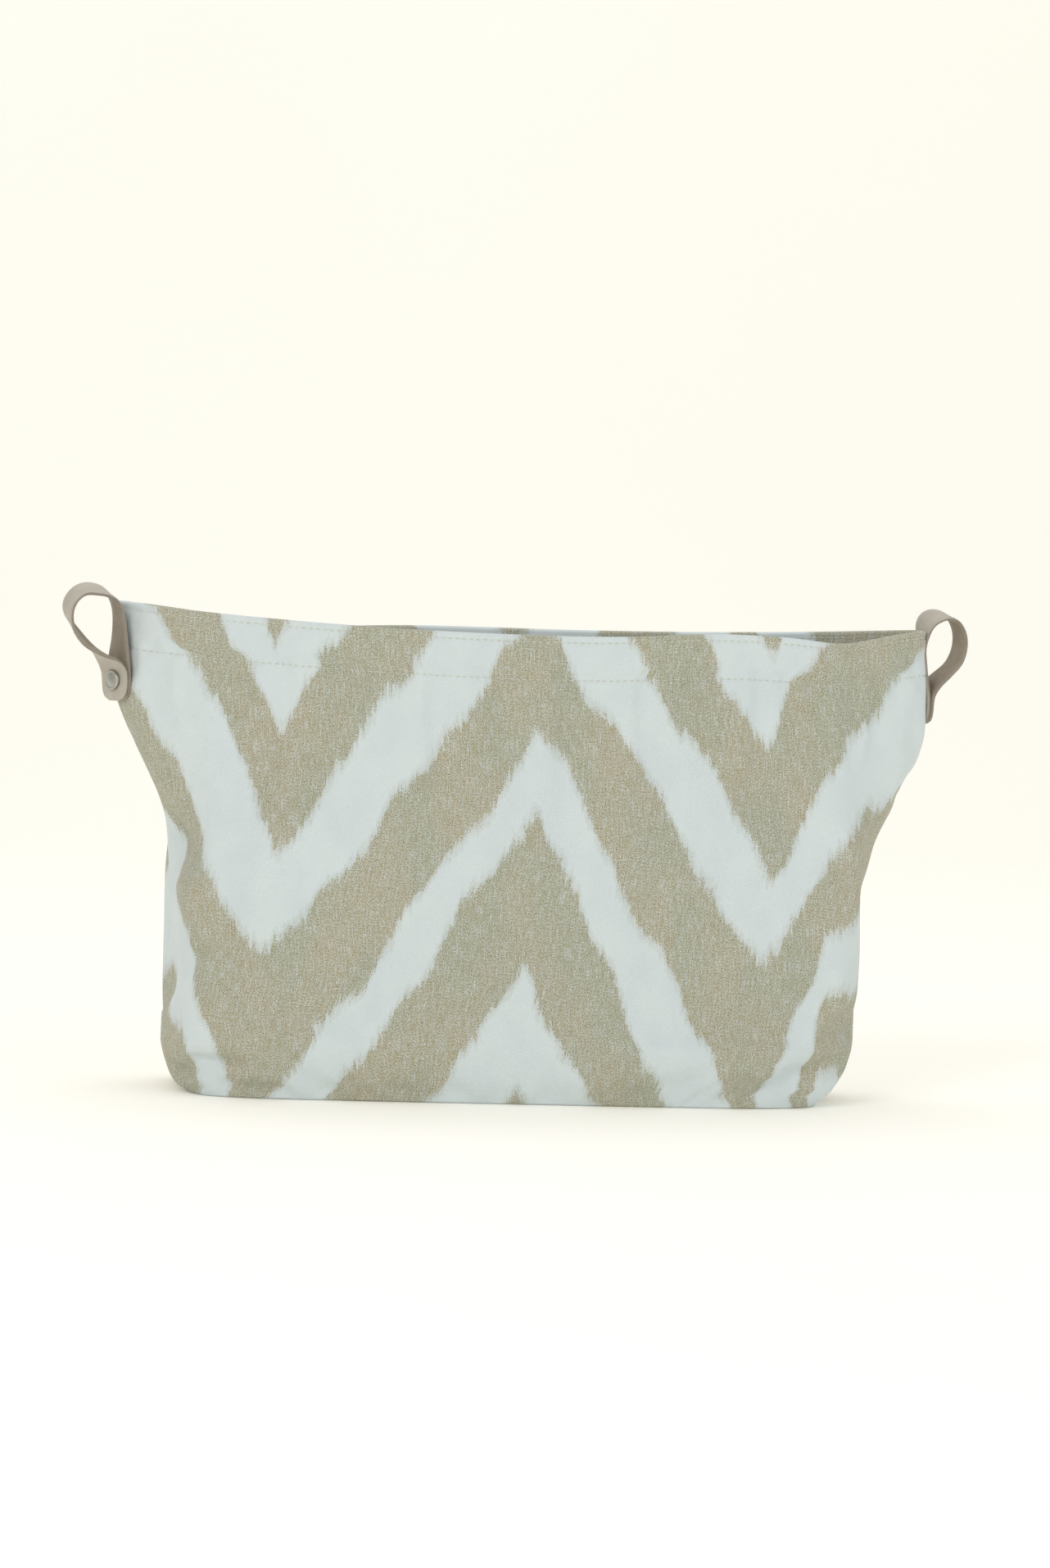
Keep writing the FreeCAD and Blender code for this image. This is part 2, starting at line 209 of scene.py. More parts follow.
def creases():
    """Displacements of a coarse grid of both sides after a short cloth simulation."""
    levels = np.linspace(0.0, RIM_HEIGHT, SIM_ROWS)
    grids = {side: dented(wall(side, levels, SIM_COLUMNS), side) for side in (FRONT, BACK)}
    ring = np.concatenate([grids[FRONT], grids[BACK][:, -2:0:-1]], axis=1)
    rows, columns = ring.shape[:2]
    mesh = bpy.data.meshes.new("crease_form")
    faces = [
        (r * columns + c, r * columns + (c + 1) % columns,
         (r + 1) * columns + (c + 1) % columns, (r + 1) * columns + c)
        for r in range(rows - 1) for c in range(columns)
    ]
    mesh.from_pydata((ring.reshape(-1, 3) * MM).tolist(), [], faces)
    form = bpy.data.objects.new("crease_form", mesh)
    bpy.context.scene.collection.objects.link(form)
    hold = form.vertex_groups.new(name="hold")
    height = np.repeat(levels, columns)
    firm = 0.10 + 0.9 * np.clip((height - 205) / 20, 0, 1) + 0.9 * np.clip(1 - height / 12, 0, 1)
    for i, weight in enumerate(np.clip(firm, 0, 1)):
        hold.add([i], float(weight), "REPLACE")
    cloth = form.modifiers.new("cloth", "CLOTH")
    settings = cloth.settings
    settings.quality = 8
    settings.mass = 0.25
    settings.tension_stiffness = 40
    settings.compression_stiffness = 40
    settings.shear_stiffness = 20
    settings.bending_stiffness = 6
    settings.vertex_group_mass = "hold"
    settings.pin_stiffness = 1.0
    settings.shrink_min = SIM_STRETCH
    cloth.collision_settings.use_collision = False
    cloth.collision_settings.use_self_collision = False
    scene = bpy.context.scene
    cloth.point_cache.frame_start, cloth.point_cache.frame_end = 1, SIM_FRAMES
    for step in range(1, SIM_FRAMES + 1):
        scene.frame_set(step)
    shaped = form.evaluated_get(bpy.context.evaluated_depsgraph_get()).to_mesh()
    points = np.zeros(len(shaped.vertices) * 3)
    shaped.vertices.foreach_get("co", points)
    moved = points.reshape(rows, columns, 3) / MM - ring
    scene.frame_set(1)
    bpy.data.objects.remove(form)
    length = np.linalg.norm(moved, axis=2, keepdims=True)
    moved *= SIM_CAP * np.tanh(length / SIM_CAP) / np.maximum(length, 1e-9)
    last = SIM_COLUMNS - 1
    back = np.concatenate([moved[:, last:], moved[:, :1]], axis=1)[:, ::-1]
    return {FRONT: moved[:, :SIM_COLUMNS], BACK: back}


SIM_MOVES = creases()


def cubic(values, at):
    """Catmull-Rom interpolation of values (first axis) at fractional indices."""
    i = np.clip(at.astype(int), 0, len(values) - 2)
    t = (at - i)[:, None, None]
    a, b = values[np.maximum(i - 1, 0)], values[i]
    c, d = values[i + 1], values[np.minimum(i + 2, len(values) - 1)]
    return 0.5 * (2 * b + (c - a) * t + (2 * a - 5 * b + 4 * c - d) * t ** 2
                  + (3 * b - a - 3 * c + d) * t ** 3)


def creased(grid, side, levels):
    """The grid moved by the simulated creases."""
    moves = SIM_MOVES[side]
    up = cubic(moves, np.clip(levels, 0, RIM_HEIGHT) / RIM_HEIGHT * (SIM_ROWS - 1))
    across = np.linspace(0, SIM_COLUMNS - 1, grid.shape[1])
    return grid + np.moveaxis(cubic(np.moveaxis(up, 1, 0), across), 0, 1)


def outer_face(side, levels, columns=COLUMNS):
    return creased(dented(wall(side, levels, columns), side), side, levels)


# ---------------------------------------------------------------- mesh making


def make(name, points, faces, material=None, smooth_shaded=True):
    """An object from points in millimetres."""
    mesh = bpy.data.meshes.new(name)
    mesh.from_pydata((np.asarray(points).reshape(-1, 3) * MM).tolist(), [], faces)
    mesh.polygons.foreach_set("use_smooth", [smooth_shaded] * len(mesh.polygons))
    obj = bpy.data.objects.new(name, mesh)
    bpy.context.scene.collection.objects.link(obj)
    if material:
        mesh.materials.append(material)
    return obj


def grid_faces(rows, columns, flip=False, closed=False):
    faces = []
    for r in range(rows - 1):
        for c in range(columns if closed else columns - 1):
            n = (c + 1) % columns
            face = (r * columns + c, r * columns + n, (r + 1) * columns + n, (r + 1) * columns + c)
            faces.append(face[::-1] if flip else face)
    return faces


def set_uv(obj, uv):
    """A UV map in metres of cloth, one value per vertex."""
    mesh = obj.data
    layer = mesh.uv_layers.new(name="Cloth")
    corner = np.zeros(len(mesh.loops), np.int32)
    mesh.loops.foreach_get("vertex_index", corner)
    layer.data.foreach_set("uv", np.asarray(uv, np.float32)[corner].ravel())


def set_value(obj, name, values):
    attribute = obj.data.attributes.new(name, "FLOAT", "POINT")
    attribute.data.foreach_set("value", np.asarray(values, np.float32).ravel())


def thicken(obj, thickness):
    """Gives a sheet its thickness, away from its face normals."""
    solid = obj.modifiers.new("thickness", "SOLIDIFY")
    solid.thickness = thickness * MM
    solid.offset = -1.0
    bpy.context.view_layer.update()
    evaluated = obj.evaluated_get(bpy.context.evaluated_depsgraph_get())
    mesh = bpy.data.meshes.new_from_object(evaluated)
    obj.modifiers.clear()
    obj.data = mesh
    return obj


# ---------------------------------------------------------------- print on the cloth

# The chevron print: where its edges bend, along the cloth from the middle, and how high each
# edge is at those bends. Beige lies below the first edge, then white, and so on upwards.
CHEVRON_BENDS = (-216, -165, -127, 2, 120, 155, 216)
CHEVRON_EDGES = [
    (-400, -300, -160, 10, -160, -300, -400),
    (-300, -200, -120, 60, -120, 15, -10),
    (70, 35, -60, 150, -75, 55, 85),
    (165, 60, -20, 180, -15, 85, 115),
    (225, 130, 70, 245, 70, 135, 170),
    (275, 200, 115, 300, 110, 165, 235),
    (345, 260, 185, 360, 180, 250, 340),
    (440, 320, 215, 400, 215, 320, 430),
]
# Uneven dyeing of the edges: height, wave length over a radian, change from edge to edge
EDGE_WAVES = [(3.5, 9.5, 2.1), (2.0, 4.3, 1.3), (1.2, 2.2, 0.7)]
PRINT_LIMIT = 12.0


def print_field(across, up):
    """Signed distance up the cloth to the nearest band edge, positive on beige."""
    edges = np.stack([np.interp(across, CHEVRON_BENDS, heights) for heights in CHEVRON_EDGES])
    for number, edge in enumerate(edges):
        for high, length, shift in EDGE_WAVES:
            edge += high * np.sin(across / length + shift * number)
    below = (edges < up).sum(0)
    distance = np.abs(edges - up).min(0)
    sign = np.where(below % 2 == 0, 1.0, -1.0)
    return sign * np.minimum(distance, PRINT_LIMIT)


# ---------------------------------------------------------------- materials


class Nodes:
    """A small helper that lays shader nodes and links them."""

    def __init__(self, name):
        self.material = bpy.data.materials.new(name)
        self.material.use_nodes = True
        self.tree = self.material.node_tree
        self.shader = self.tree.nodes["Principled BSDF"]

    def put(self, socket, value):
        if isinstance(value, bpy.types.NodeSocket):
            self.tree.links.new(value, socket)
        elif value is not None:
            socket.default_value = value

    def node(self, kind, inputs=(), output=0, **settings):
        node = self.tree.nodes.new(kind)
        for key, value in settings.items():
            setattr(node, key, value)
        for key, value in dict(inputs).items():
            self.put(node.inputs[key], value)
        return node.outputs[output]

    def math(self, operation, a, b=None, c=None, clamp=False):
        values = {i: v for i, v in enumerate((a, b, c)) if v is not None}
        return self.node("ShaderNodeMath", values, operation=operation, use_clamp=clamp)

    def ramp(self, value, low, high, to_low=0.0, to_high=1.0):
        return self.node(
            "ShaderNodeMapRange", {0: value, 1: low, 2: high, 3: to_low, 4: to_high},
            interpolation_type="SMOOTHSTEP",
        )

    def mix(self, factor, a, b, blend="MIX"):
        node = self.tree.nodes.new("ShaderNodeMix")
        node.data_type, node.blend_type = "RGBA", blend
        self.put(node.inputs[0], factor)
        self.put(node.inputs[6], a)
        self.put(node.inputs[7], b)
        return node.outputs[2]

    def scaled(self, vector, x, y, z=1.0):
        return self.node(
            "ShaderNodeVectorMath", {0: vector, 1: (x, y, z)}, operation="MULTIPLY"
        )

    def noise(self, vector, detail=2.0, rough=0.5, distortion=0.0):
        return self.node(
            "ShaderNodeTexNoise",
            {"Vector": vector, "Scale": 1.0, "Detail": detail, "Roughness": rough,
             "Distortion": distortion},
            output="Fac", noise_dimensions="3D",
        )

    def wave(self, coordinate, period):
        """A rounded ridge from 0 to 1, repeating along a coordinate in metres."""
        angle = self.math("MULTIPLY", coordinate, 2 * math.pi / (period * MM))
        return self.math("MULTIPLY_ADD", self.math("SINE", angle), 0.5, 0.5)

    def bump(self, height, distance, strength=1.0, normal=None):
        inputs = {"Strength": strength, "Distance": distance * MM, "Height": height}
        if normal is not None:
            inputs["Normal"] = normal
        return self.node("ShaderNodeBump", inputs)

    def finish(self, **values):
        for key, value in values.items():
            self.put(self.shader.inputs[key.replace("_", " ")], value)
        return self.material


def rgb(r, g, b):
    """Linear colour from 0-255 display values."""
    def linear(v):
        v /= 255.0
        return v / 12.92 if v <= 0.04045 else ((v + 0.055) / 1.055) ** 2.4
    return (linear(r), linear(g), linear(b), 1.0)


WARP, WEFT = 0.62, 0.70      # thread spacing of the canvas


def weave(n, warp=WARP, weft=WEFT):
    """Height of a plain weave, threads slightly uneven, and the UV coordinates."""
    uv = n.node("ShaderNodeUVMap", uv_map="Cloth")
    wander = n.noise(n.scaled(uv, 260, 90), detail=1.0)
    across = n.node("ShaderNodeSeparateXYZ", {0: uv}, output=0)
    up = n.node("ShaderNodeSeparateXYZ", {0: uv}, output=1)
    across = n.math("MULTIPLY_ADD", wander, 0.0006, across)
    up = n.math("MULTIPLY_ADD", wander, 0.0006, up)
    over = n.wave(across, 2 * warp)
    under = n.wave(up, 2 * weft)
    threads = n.math("ADD", n.math("MULTIPLY", over, under),
                     n.math("MULTIPLY", n.math("SUBTRACT", 1.0, over),
                            n.math("SUBTRACT", 1.0, under)))
    return uv, threads


def printed_cloth():
    n = Nodes("printed_cloth")
    uv, threads = weave(n)
    field = n.node("ShaderNodeAttribute", attribute_name="print_field", output="Fac")
    streak = n.noise(n.scaled(uv, 430, 62), detail=3.0, rough=0.6)
    fringe = n.noise(n.scaled(uv, 1500, 270, 7), detail=3.0, rough=0.7)
    shift = n.math("ADD", n.math("MULTIPLY_ADD", streak, 17.0, -8.5),
                   n.math("MULTIPLY_ADD", fringe, 11.0, -5.5))
    edge = n.math("ADD", field, shift)
    inked = n.ramp(edge, -0.8, 1.0)
    # dry-brush flecks: the ink misses the low threads, more so near a band's edge
    fleck = n.noise(n.scaled(uv, 1500, 1900), detail=2.5, rough=0.8)
    slub = n.noise(n.scaled(uv, 1400, 110, 3), detail=2.0, rough=0.6)
    weft = n.noise(n.scaled(uv, 120, 1500, 4), detail=1.5)
    cover = n.ramp(edge, -2.0, 8.0, 0.24, 0.0)
    dry = n.math("ADD", n.math("MULTIPLY", fleck, 0.66), n.math("MULTIPLY", slub, 0.26))
    dry = n.math("MULTIPLY_ADD", weft, 0.12, dry)
    bare = n.ramp(n.math("ADD", dry, cover), 0.515, 0.61)
    tone = n.noise(n.scaled(uv, 34, 18, 5), detail=2.5)
    tan = n.mix(n.ramp(tone, 0.38, 0.62), rgb(180, 182, 160), rgb(190, 183, 158))
    # fine dark specks scattered at random in the tan: painted shade between the threads
    dark = n.noise(n.scaled(uv, 2100, 1700, 9), detail=1.5, rough=0.7)
    tan = n.mix(n.ramp(dark, 0.46, 0.58), tan, rgb(136, 130, 102))
    white = n.mix(n.ramp(n.noise(n.scaled(uv, 60, 45), detail=2.0), 0.3, 0.7),
                  rgb(213, 222, 223), rgb(208, 218, 220))
    # painted shade: the colour is darkened on the low threads of the weave, where the recesses lie
    thread_painted_shade = n.ramp(threads, 0.0, 1.0, 0.90, 1.0)
    base = n.mix(n.math("MULTIPLY", inked, n.math("SUBTRACT", 1.0, n.math("MULTIPLY", bare, 0.85))),
                 white, tan)
    painted_shade = n.node("ShaderNodeCombineXYZ", {0: thread_painted_shade, 1: thread_painted_shade, 2: thread_painted_shade})
    colour = n.mix(1.0, base, painted_shade, "MULTIPLY")
    paint = n.math("MULTIPLY", inked, bare)
    height = n.math("ADD", threads, n.math("MULTIPLY", paint, -0.5))
    fuzz = n.noise(n.scaled(uv, 900, 900, 1), detail=2.0)
    normal = n.bump(height, 0.10, 0.7, n.bump(fuzz, 0.25, 0.35))
    rough = n.ramp(paint, 0.0, 1.0, 0.82, 0.92)
    return n.finish(Base_Color=colour, Roughness=rough, Normal=normal, Sheen_Weight=0.12,
                    Sheen_Roughness=0.5, Specular_IOR_Level=0.25)


def plain_cloth(name, light, dark, warp, weft, relief=0.08):
    n = Nodes(name)
    uv, threads = weave(n, warp, weft)
    soil = n.ramp(n.noise(n.scaled(uv, 40, 30), detail=3.0), 0.3, 0.7)
    colour = n.mix(soil, light, dark)
    # painted shade: the colour is darkened on the low threads of the weave, where the recesses lie
    painted_shade = n.ramp(threads, 0.0, 1.0, 0.90, 1.0)
    painted_shade = n.node("ShaderNodeCombineXYZ", {0: painted_shade, 1: painted_shade, 2: painted_shade})
    normal = n.bump(threads, relief, 0.7, n.bump(n.noise(n.scaled(uv, 700, 700)), 0.25, 0.3))
    return n.finish(Base_Color=n.mix(1.0, colour, painted_shade, "MULTIPLY"), Roughness=0.88,
                    Normal=normal, Sheen_Weight=0.1, Specular_IOR_Level=0.2)


def thread_material():
    n = Nodes("thread")
    uv = n.node("ShaderNodeUVMap", uv_map="Cloth")
    along = n.node("ShaderNodeSeparateXYZ", {0: uv}, output=0)
    around = n.node("ShaderNodeSeparateXYZ", {0: uv}, output=1)
    twist = n.wave(n.math("MULTIPLY_ADD", around, 0.7, along), 0.45)
    tone = n.noise(n.scaled(uv, 300, 300), detail=2.0)
    colour = n.mix(n.ramp(tone, 0.3, 0.7), rgb(226, 226, 214), rgb(208, 207, 192))
    # painted shade in the grooves between the twisted plies of the thread
    colour = n.mix(n.ramp(twist, 0.0, 0.5, 0.35, 0.0), colour, rgb(170, 168, 150))
    return n.finish(Base_Color=colour, Roughness=0.55, Normal=n.bump(twist, 0.05, 0.6),
                    Sheen_Weight=0.2)


def leather(name, light, dark, worn, grain_depth, rough):
    n = Nodes(name)
    uv = n.node("ShaderNodeUVMap", uv_map="Cloth")
    spot = n.node("ShaderNodeTexCoord", output="Object")
    pores = n.node("ShaderNodeTexVoronoi", {"Vector": n.scaled(uv, 1, 1), "Scale": 1500.0,
                                            "Randomness": 1.0}, output="Distance")
    grain = n.noise(n.scaled(uv, 900, 900), detail=4.0, rough=0.65)
    cloud = n.noise(n.scaled(spot, 90, 90, 90), detail=3.0)
    colour = n.mix(n.ramp(cloud, 0.3, 0.7), light, dark)
    colour = n.mix(n.ramp(grain, 0.42, 0.75, 0.0, 0.5), colour, worn)
    height = n.math("ADD", n.math("MULTIPLY", pores, 0.6), grain)
    normal = n.bump(height, grain_depth, 0.8,
                    n.bump(n.noise(n.scaled(spot, 160, 160, 160), detail=2.0), 0.4, 0.4))
    roughness = n.ramp(grain, 0.3, 0.7, rough - 0.06, rough + 0.08)
    return n.finish(Base_Color=colour, Roughness=roughness, Normal=normal,
                    Specular_IOR_Level=0.35, Sheen_Weight=0.06)


def nickel():
    n = Nodes("satin_nickel")
    spot = n.node("ShaderNodeTexCoord", output="Object")
    brushed = n.noise(n.scaled(spot, 1400, 1400, 1400), detail=3.0)
    smudge = n.noise(n.scaled(spot, 220, 220, 220), detail=2.0)
    colour = n.mix(n.ramp(smudge, 0.3, 0.7), rgb(190, 190, 182), rgb(166, 167, 158))
    roughness = n.ramp(brushed, 0.3, 0.7, 0.30, 0.42)
    return n.finish(Base_Color=colour, Metallic=1.0, Roughness=roughness,
                    Normal=n.bump(brushed, 0.02, 0.3))


PRINTED = printed_cloth()
LINING = plain_cloth("lining_cotton", rgb(226, 228, 226), rgb(216, 219, 219), 0.38, 0.42)
THREAD = thread_material()
GRAIN = leather("leather_grain", rgb(186, 180, 168), rgb(174, 168, 156), rgb(158, 151, 138),
                0.10, 0.58)
FLESH = leather("leather_flesh", rgb(170, 160, 146), rgb(156, 146, 131), rgb(136, 124, 108),
                0.22, 0.85)
NICKEL = nickel()

# ---------------------------------------------------------------- the bag

WALL_LEVELS = np.concatenate([
    [0.4, 1.2, 2.6, 4.5], np.arange(7, 214, 3.0), np.arange(214, 238.5, 1.0), [238.6, 239.2],
])
FOLD_STEPS = 6
HEM_DROPS = np.concatenate([[1.0, 2.0, 3.0], np.arange(4.0, HEM_DEPTH + 0.1, 1.0)])
STITCH_DROPS = (3.4, 22.0)


def groove(levels):
    """How deep the topstitching draws the outer face in at each level."""
    drop = RIM_HEIGHT - levels
    return sum(0.45 * np.exp(-((drop - row) / 0.9) ** 2) for row in STITCH_DROPS)


def seam_dip(columns):
    """How far the cloth dips into the seam at the ends of a panel."""
    u = np.linspace(-1, 1, columns)
    return 0.9 * np.exp(-((1 - np.abs(u)) * 215 / 1.6) ** 2)


def panel_surface(side):
    """Points of the printed cloth of one side: up the wall, over the fold, down the hem."""
    wall_grid = outer_face(side, WALL_LEVELS)
    out = normals(wall_grid)
    dip = groove(WALL_LEVELS)[:, None] + seam_dip(COLUMNS)[None, :]
    hem_levels = RIM_HEIGHT - HEM_DROPS
    hem_grid = outer_face(side, hem_levels)
    hem_out = normals(hem_grid[::-1])[::-1]
    if (hem_out[0] * out[-1]).sum() < 0:
        hem_out = -hem_out
    hem = hem_grid - hem_out * (HEM_INSET + 0.8 - 0.3 * groove(hem_levels)[:, None, None])
    wall_grid = wall_grid - out * dip[..., None]
    rim, inner, outward = wall_grid[-1], hem[0], out[-1]
    middle, half = (rim + inner) / 2, (rim - inner) / 2
    lift = np.zeros_like(rim)
    lift[:, 2] = 1.2
    turns = np.linspace(0, math.pi, FOLD_STEPS + 2)[1:-1]
    fold = [middle + half * math.cos(a) + lift * math.sin(a) for a in turns]
    return np.concatenate([wall_grid, fold, hem]), outward


def cloth_coordinates(surface):
    """Across and up the cloth, in millimetres, measured along it."""
    step = np.linalg.norm(np.diff(surface, axis=1), axis=2)
    across = np.concatenate([np.zeros((len(surface), 1)), np.cumsum(step, 1)], 1)
    across -= across[:, -1:] / 2
    rise = np.linalg.norm(np.diff(surface, axis=0), axis=2)
    up = np.concatenate([np.zeros((1, surface.shape[1])), np.cumsum(rise, 0)])
    return across, up


def print_height(surface, rows_up_wall):
    """Height on the print: the point's own height on the wall, then on over the fold."""
    height = surface[..., 2].copy()
    rise = np.linalg.norm(np.diff(surface, axis=0), axis=2)
    for row in range(rows_up_wall, len(surface)):
        height[row] = height[row - 1] + rise[row - 1]
    return height


def make_panel(side, name):
    surface, _ = panel_surface(side)
    obj = make(name, surface, grid_faces(*surface.shape[:2], flip=side == BACK), PRINTED)
    across, up = cloth_coordinates(surface)
    set_uv(obj, np.stack([across, up], 2).reshape(-1, 2) * MM + (0.0, 0.0 if side < 0 else 0.5))
    across_print = across if side == FRONT else across + 2.0
    set_value(obj, "print_field",
              print_field(across_print, print_height(surface, len(WALL_LEVELS))))
    thicken(obj, CLOTH)
    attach(obj, "bin")
    return obj, surface, float(across.max() * 2), float(up.max())


front_cloth, front_surface, front_wide, front_long = make_panel(FRONT, "front_cloth")
back_cloth, back_surface, back_wide, back_long = make_panel(BACK, "back_cloth")
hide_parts("front_panel")
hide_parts("back_panel")


def bottom_sheet(name, height, inset, material, thickness, flip):
    """A flat sheet of the base, between the feet of the two walls."""
    level = np.array([max(height, 0.4), max(height, 0.4) + 1.0])
    edges = [outer_face(side, level)[0] for side in (FRONT, BACK)]
    middle = (edges[0] + edges[1]) / 2
    rows = []
    for share in np.linspace(0, 1, 41):
        row = edges[0] * (1 - share) + edges[1] * share
        row = row + (middle - row) / np.maximum(
            np.linalg.norm(middle - row, axis=1, keepdims=True), 1.0) * inset
        row[:, 0] *= 1 - inset / 160
        row[:, 2] = height
        rows.append(row)
    grid = np.array(rows)
    obj = make(name, grid, grid_faces(*grid.shape[:2], flip=flip), material)
    set_uv(obj, grid[..., :2].reshape(-1, 2) * MM)
    if material is PRINTED:
        set_value(obj, "print_field", print_field(grid[..., 0], 60 + grid[..., 1]))
    thicken(obj, thickness)
    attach(obj, "bin")
    return obj


base_cloth = bottom_sheet("base_cloth", 0.2, 0.4, PRINTED, -CLOTH, False)
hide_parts("base_panel")


def make_lining():
    """The white lining of the two walls: from behind the hem down to the floor of the bag."""
    levels = np.concatenate([
        np.arange(3.2, 12, 1.5),
        np.arange(12, RIM_HEIGHT - HEM_DEPTH + 5, 3.0),
    ])
    pieces = []
    for side, name in ((FRONT, "front_lining_cloth"), (BACK, "back_lining_cloth")):
        grid = outer_face(side, levels)
        grid = grid - normals(grid) * LINING_INSET
        obj = make(name, grid, grid_faces(*grid.shape[:2], flip=side == FRONT), LINING)
        across, up = cloth_coordinates(grid)
        set_uv(obj, np.stack([across, up], 2).reshape(-1, 2) * MM)
        thicken(obj, 0.4)
        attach(obj, "bin")
        pieces.append(obj)
    return pieces


front_lining, back_lining = make_lining()
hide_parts("front_lining", "front_interlining")
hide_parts("back_lining", "back_interlining")
floor_lining = bottom_sheet("floor_lining", 3.4, 3.2, LINING, 0.4, False)
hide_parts("base_lining", "base_stiffener")

# ---------------------------------------------------------------- topstitching

STITCH_PITCH, STITCH_LENGTH, THREAD_RADIUS = 3.4, 2.7, 0.24
SEAT_CENTRE = {}
for end, (degrees, depth) in SEATS.items():
    turn = math.radians(degrees)
    outward = Vector((end * math.cos(turn), -math.sin(turn), 0))
    reach = seat_reach(turn)
    touch = Vector((MOUTH_HALF_X ** 2 * outward.x, MOUTH_HALF_Y ** 2 * outward.y, 0)) / reach
    SEAT_CENTRE[end] = (touch - outward * depth + Vector((0, 0, 200.0)), outward)


def free_of_straps(point):
    """False where the swivelling strap would meet a stitch."""
    return all(
        (Vector(point) - centre).dot(outward) < -0.6 for centre, outward in SEAT_CENTRE.values()
    )



def stitches(name, replaced, drop):
    """One row of topstitching round the bag, seen outside, and inside on the hem."""
    points, faces, uv = [], [], []
    wall_row = int(np.argmin(np.abs(WALL_LEVELS - (RIM_HEIGHT - drop))))
    hem_row = len(WALL_LEVELS) + FOLD_STEPS + int(np.argmin(np.abs(HEM_DROPS - drop)))
    for surface in (front_surface, back_surface):
        out = normals(surface[: len(WALL_LEVELS)])[wall_row]
        for row, direction in ((wall_row, out), (hem_row, -out)):
            line = surface[row]
            gaps = np.linalg.norm(np.diff(line, axis=0), axis=1)
            walked = np.concatenate([[0], np.cumsum(gaps)])
            for start in np.arange(2.0, walked[-1] - STITCH_LENGTH - 1, STITCH_PITCH):
                at = start + np.linspace(0, 1, 7) * STITCH_LENGTH
                spine = np.stack([np.interp(at, walked, line[:, k]) for k in range(3)], 1)
                away = np.stack([np.interp(at, walked, direction[:, k]) for k in range(3)], 1)
                if direction is out and not free_of_straps(spine[3]):
                    continue
                arch = np.array([-0.55, 0.02, 0.20, 0.24, 0.20, 0.02, -0.55])
                spine = spine + away * arch[:, None]
                tangent = np.gradient(spine, axis=0)
                tangent /= np.linalg.norm(tangent, axis=1, keepdims=True)
                side_way = np.cross(tangent, away)
                first = len(points)
                for i in range(7):
                    for corner in range(6):
                        angle = corner * math.pi / 3
                        points.append(spine[i] + THREAD_RADIUS * (
                            math.cos(angle) * away[i] + math.sin(angle) * side_way[i]))
                        uv.append(((start + at[i] - at[0]) * MM, angle * THREAD_RADIUS * MM))
                faces += [
                    tuple(first + v for v in face) for face in grid_faces(7, 6, closed=True)
                ]
                faces.append(tuple(first + c for c in range(5, -1, -1)))
                faces.append(tuple(first + 36 + c for c in range(6)))
    obj = make(name, points, faces, THREAD)
    set_uv(obj, uv)
    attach(obj, "bin")
    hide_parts(replaced)
    return obj


stitches("rim_stitches", "rim_topstitch", STITCH_DROPS[0])
stitches("hem_stitches", "hem_topstitch", STITCH_DROPS[1])

# ---------------------------------------------------------------- leather loops

STRAP_HALF, STRAP_THICK = 10.0, 1.8
LOOP_STEPS = 90
END_REACH, END_POWER = 10.4, 3.2     # the strap's square-cut, round-cornered end
# Middle line of the strap in the handle's frame (out of the seat, up), from the outer end at the
# rivet, up and round the loop, and back down to the end against the cloth
LOOP_LINES = {
    -1: [(3.2, -10.2), (3.2, 0), (4.2, 5), (8.4, 10.2), (17.0, 15.8), (25.6, 21.8), (31.2, 28.4),
         (32.2, 35.2), (27.8, 41.2), (18.0, 44.0), (9.0, 42.2), (3.4, 36.0), (1.5, 25),
         (1.25, 10), (1.25, -10.0)],
    1: [(3.2, -10.2), (3.2, 0), (4.4, 5), (8.0, 9.6), (13.4, 14.2), (19.8, 20.2), (22.8, 27.5),
        (22.6, 35.0), (19.2, 41.2), (13.4, 44.0), (7.4, 43.0), (2.8, 38.0), (1.5, 28),
        (1.25, 12), (1.25, -10.0)],
}
# Turn of the strap about its own line, in degrees, by share of its length
LOOP_TWISTS = {
    -1: [(0, 0), (0.14, 0), (0.22, 20), (0.30, 32), (0.38, 27), (0.46, 10), (0.52, -10),
         (0.60, -20), (0.68, -21), (0.78, -15), (0.88, -3), (0.94, 0), (1, 0)],
    1: [(0, 0), (0.2, 0), (0.38, 10), (0.5, 12), (0.58, 8), (0.64, -8), (0.70, -20), (0.78, -14),
        (0.9, 0), (1, 0)],
}


def spline(points, count):
    """Points evenly spaced along a smooth line through a few points."""
    p = np.array(points, float)
    at = np.linspace(0, len(p) - 1, 600)
    fine = cubic(p[:, None, :], np.minimum(at, len(p) - 1 - 1e-6))[:, 0]
    walked = np.concatenate([[0], np.cumsum(np.linalg.norm(np.diff(fine, axis=0), axis=1))])
    even = np.linspace(0, walked[-1], count)
    return np.stack([np.interp(even, walked, fine[:, k]) for k in range(p.shape[1])], 1), walked[-1]


